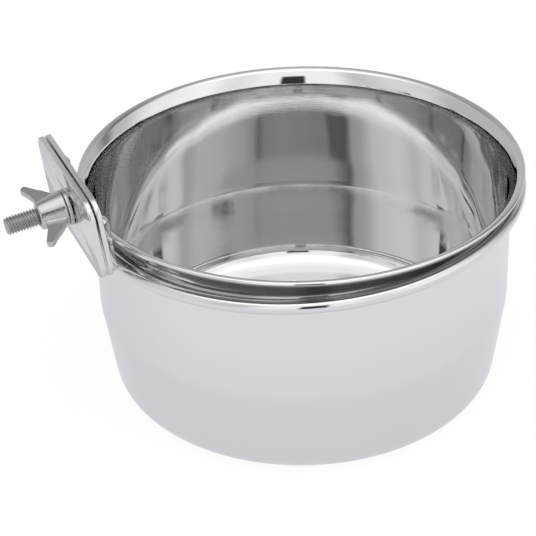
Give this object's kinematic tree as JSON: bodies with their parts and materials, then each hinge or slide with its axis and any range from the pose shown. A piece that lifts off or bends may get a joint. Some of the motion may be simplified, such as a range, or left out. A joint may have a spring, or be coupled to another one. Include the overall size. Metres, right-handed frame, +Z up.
{
  "type": "pet bowl in a clamp-on ring",
  "caption": "Round deep-drawn steel pet bowl that lifts out of a wire ring with a bolt-on clamp: flat jaw plates on a threaded stud, drawn together by a wing nut to hang it on cage bars.",
  "frame": {"origin": "middle of the bowl's flat base, on the surface it stands on", "axes": "+Z up along the bowl's axis, -X from the bowl's axis towards the clamp, Y along the clamp's plates"},
  "size_m": [0.1475, 0.1254, 0.0814],
  "materials": {
    "bowl_steel": "bright polished stainless steel, mirror-like inside",
    "ring_steel": "bright drawn wire",
    "plate_steel": "satin stainless steel",
    "stud_steel": "rolled thread, dull",
    "nut_steel": "tumbled, half bright"
  },
  "bodies": {
    "holder": {"ring": "ring_steel", "fixed_plate": "plate_steel", "lug_near": "plate_steel", "lug_far": "plate_steel", "stud": "stud_steel"},
    "bowl": {"bowl": "bowl_steel"},
    "slider": {"washer": "nut_steel"},
    "jaw": {"loose_plate": "plate_steel"},
    "nut": {"wing_nut": "nut_steel"}
  },
  "joints": [
    {"name": "bowl_lift", "type": "slide", "parent": "holder", "child": "bowl", "axis": [0, 0, 1], "range_m": [0, 0.03]},
    {"name": "jaw_travel", "type": "slide", "parent": "holder", "child": "slider", "axis": [-0.9945, 0, -0.1045], "range_m": [-0.0003, 0.0095]},
    {"name": "nut_spin", "type": "hinge", "parent": "slider", "child": "nut", "pos_m": [-0.06376, 0, 0.0698], "axis": [-0.9945, 0, -0.1045], "range_deg": [-135, 4275]},
    {"name": "jaw_swing", "type": "hinge", "parent": "slider", "child": "jaw", "pos_m": [-0.06376, 0, 0.0698], "axis": [-0.9945, 0, -0.1045], "range_deg": [-90, 90]}
  ],
  "couplings": [
    {"joint": "nut_spin", "follows": "jaw_travel", "rad_per_m": 7854}
  ]
}
